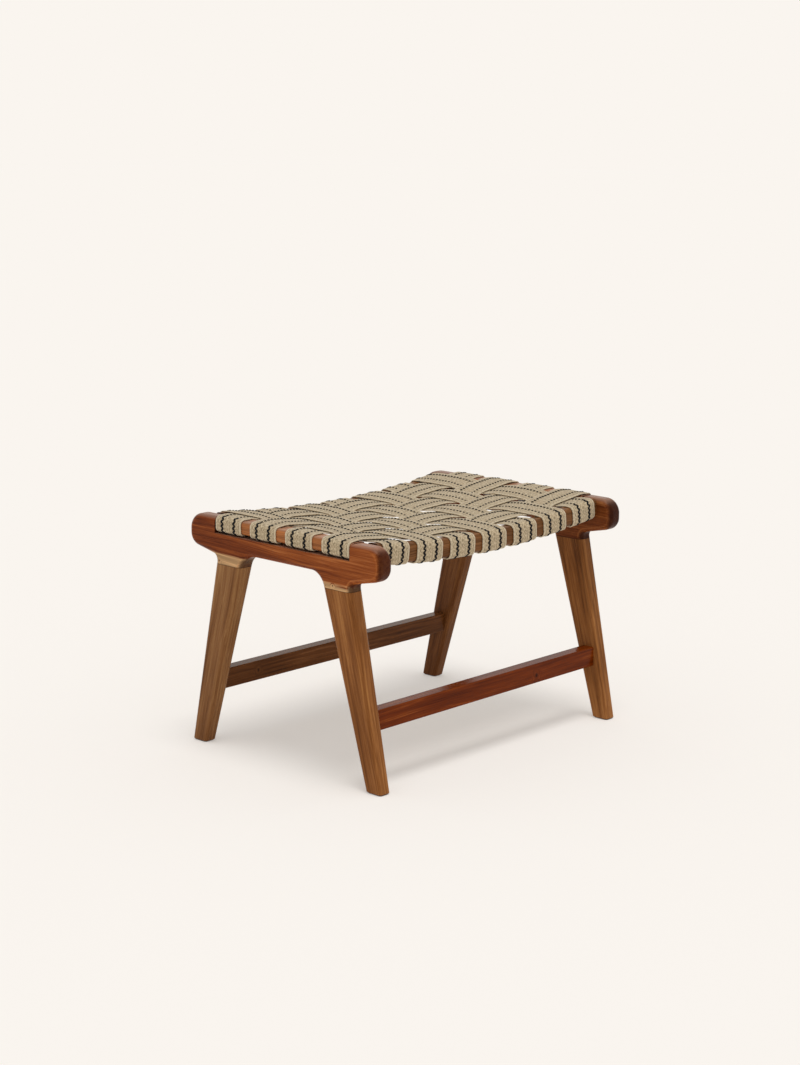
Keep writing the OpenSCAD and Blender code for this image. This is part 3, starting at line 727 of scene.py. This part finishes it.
def merged(name, meshes):
    """Several plain meshes of one material as one."""
    mesh = bpy.data.meshes.new(name)
    points, faces = [], []
    for part in meshes:
        start = sum(map(len, points))
        flat = np.zeros(len(part.vertices) * 3)
        part.vertices.foreach_get("co", flat)
        points.append(flat.reshape(-1, 3))
        faces += [[start + v for v in polygon.vertices] for polygon in part.polygons]
    mesh.from_pydata(np.vstack(points).tolist(), [], faces)
    mesh.materials.append(meshes[0].materials[0])
    mesh.polygons.foreach_set("use_smooth", [True] * len(faces))
    return mesh


def strap(name, node, path, seed):
    """Weaves one strap on its path: the band, and its two black yarns. Strokes that lean one way stand
    up in the one, and strokes that lean the other way in the other. Returns both and its length."""
    length = sum((a.co - b.co).length for a, b in zip(path.data.vertices, path.data.vertices[1:]))
    band = bpy.data.objects.new(name, run_tree(BAND, path, {**BAND_VALUES, "Seed": seed}))
    lines = [
        run_tree(YARN, path, {**YARN_VALUES, "Place": side * BLACK_PLACE, "Rise": rise, "Phase": phase})
        for side, rise, phase in BLACK_LINES
    ]
    yarn = bpy.data.objects.new(name + "_yarns", merged(name + "_yarns", lines))
    for piece in (band, yarn):
        bpy.context.scene.collection.objects.link(piece)
        for label in ("outward", "side", "across", "along", "curl", "wrap"):
            if label in piece.data.attributes:
                piece.data.attributes.remove(piece.data.attributes[label])
        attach(piece, "root")
    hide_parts(node)
    bpy.data.objects.remove(path)
    return band, yarn, length


rail_mid = (LONG_RAIL_Y, -(STRAP_LIFT + LONG_RAIL_H / 2))
rail_hook = hook_path(rail_mid, (LONG_RAIL_T, LONG_RAIL_H), LONG_RAIL_R, LONG_RAIL_R)
rail_out = LONG_RAIL_Y + LONG_RAIL_T / 2 - LONG_RAIL_R
rail_in = LONG_RAIL_Y - LONG_RAIL_T / 2 + LONG_RAIL_R
rail_edges = [(-rail_in, -rail_out), (rail_in, rail_out)]
for j in range(1, CROSS_COUNT + 1):
    angle = math.asin(CROSS_X[j - 1] / ARC_R)
    up = Vector((-math.sin(angle), 0, math.cos(angle)))
    side = Vector((math.cos(angle), 0, math.sin(angle)))
    signs = [1 if (i + j) % 2 == 0 else -1 for i in range(LONG_COUNT, 0, -1)]
    course = strap_line(
        rail_hook, np.zeros_like, lambda run: weave_height(run, LONG_Y[::-1], signs, rail_edges), rail_out
    )
    origin = Vector((0, 0, ARC_Z)) - up * ARC_R
    path = path_object(f"cross_path_{j}", course, origin, (0, 1, 0), side, up)
    band, yarn, length = strap(f"cross_band_{j}", f"cross_strap_{j}", path, 10.0 + j)


# Long straps.
# Four bands of the same webbing from end to end. Each passes over one cross strap and under the
# next, wraps the bars of both end rails, and is tacked on their inner faces.
BAR_H = 0.0225
BAR_OUTER_R = 0.006
BAR_INNER_R = 0.003
BAR_OUTER_X = RAIL_HIGH.x - STRAP_T - STRAP_GAP


def seat_arc(run):
    """Height of the seat's middle surface along X: level on the bars, and an arc between them."""
    return ARC_Z - np.sqrt(ARC_R ** 2 - np.minimum(np.abs(run), INNER_X) ** 2)


bar_mid = ((BAR_OUTER_X + INNER_X) / 2, BAR_TOP - BAR_H / 2)
bar_hook = hook_path(bar_mid, (BAR_OUTER_X - INNER_X, BAR_H), BAR_OUTER_R, BAR_INNER_R)
bar_out = BAR_OUTER_X - BAR_OUTER_R
bar_in = INNER_X + BAR_INNER_R
bar_edges = [(-bar_in, -bar_out), (bar_in, bar_out)]
for i in range(1, LONG_COUNT + 1):
    signs = [-1 if (i + j) % 2 == 0 else 1 for j in range(1, CROSS_COUNT + 1)]
    course = strap_line(
        bar_hook, seat_arc, lambda run: weave_height(run, CROSS_X, signs, bar_edges), bar_out
    )
    path = path_object(f"long_path_{i}", course, (0, LONG_Y[i - 1], 0), (1, 0, 0), (0, 1, 0), (0, 0, 1))
    band, yarn, length = strap(f"long_band_{i}", f"long_strap_{i}", path, 30.0 + i)


# Floor, light and camera.
# A plain cream floor that glows a little and runs into a cream background, one soft light from
# above, and the viewing angle of the photograph.
CREAM = srgb(250, 245, 239)
FLOOR_REACH = 30.0
FLOOR_GLOW = 0.35
floor_mesh = bpy.data.meshes.new("floor")
corners = [(x * FLOOR_REACH, y * FLOOR_REACH, 0.0) for x, y in ((-1, -1), (1, -1), (1, 1), (-1, 1))]
floor_mesh.from_pydata(corners, [], [(0, 1, 2, 3)])
floor = bpy.data.objects.new("floor", floor_mesh)
bpy.context.scene.collection.objects.link(floor)
floor_material, floor_tree, floor_surface = new_material("floor")
feed(floor_tree, floor_surface, {
    "Base Color": darker(CREAM, 1 - FLOOR_GLOW),
    "Emission Color": CREAM,
    "Emission Strength": FLOOR_GLOW,
    "Roughness": 1.0,
    "Specular IOR Level": 0.0,
})
floor_mesh.materials.append(floor_material)

# The world lights the stool at one grey level, and the camera and reflections see it as cream
WORLD_LEVEL = 0.58
world = bpy.data.worlds.new("studio")
bpy.context.scene.world = world
world.use_nodes = True
world_tree = world.node_tree
rays = add(world_tree, "ShaderNodeLightPath").outputs
seen = rays["Is Camera Ray"]
for ray in ("Is Glossy Ray", "Is Transmission Ray"):
    seen = calc(world_tree, "MAXIMUM", seen, rays[ray])
shade = blend(world_tree, seen, (WORLD_LEVEL, WORLD_LEVEL, WORLD_LEVEL, 1.0), CREAM)
feed(world_tree, world_tree.nodes["Background"], {"Color": shade})

LAMP_SPREAD = 26
lamp = bpy.data.lights.new("softbox", "SUN")
lamp.angle = math.radians(LAMP_SPREAD)
towards_light = Vector((-0.07, -0.17, 1.0)).normalized()
lamp.energy = (1 - WORLD_LEVEL) * math.pi / towards_light.z
softbox = bpy.data.objects.new("softbox", lamp)
softbox.rotation_euler = towards_light.to_track_quat("Z", "Y").to_euler()
bpy.context.scene.collection.objects.link(softbox)

# The camera as it was fitted to the photograph, in degrees, metres and pixels
AZIMUTH, ELEVATION, ROLL = -47.16, 11.51, 0.47
DISTANCE = 3.5654
AIM = Vector((0.04743, 0.06654, 0.32941))
FOCAL_PIXELS, LONG_SIDE_PIXELS = 2050.3, 1065
SENSOR_MM = 36.0
turn, lift, roll = (math.radians(a) for a in (AZIMUTH, ELEVATION, ROLL))
back = Vector((math.sin(turn) * math.cos(lift), -math.cos(turn) * math.cos(lift), math.sin(lift)))
level = Vector((math.cos(turn), math.sin(turn), 0))
upright = back.cross(level)
right = level * math.cos(roll) + upright * math.sin(roll)
above = upright * math.cos(roll) - level * math.sin(roll)
camera_data = bpy.data.cameras.new("camera")
camera_data.sensor_width = SENSOR_MM
camera_data.lens = FOCAL_PIXELS / LONG_SIDE_PIXELS * SENSOR_MM
camera = bpy.data.objects.new("camera", camera_data)
turned = Matrix((right, above, back)).transposed().to_4x4()
camera.matrix_world = Matrix.Translation(AIM + back * DISTANCE) @ turned
bpy.context.scene.collection.objects.link(camera)
bpy.context.scene.camera = camera
bpy.context.scene.view_settings.view_transform = "Standard"
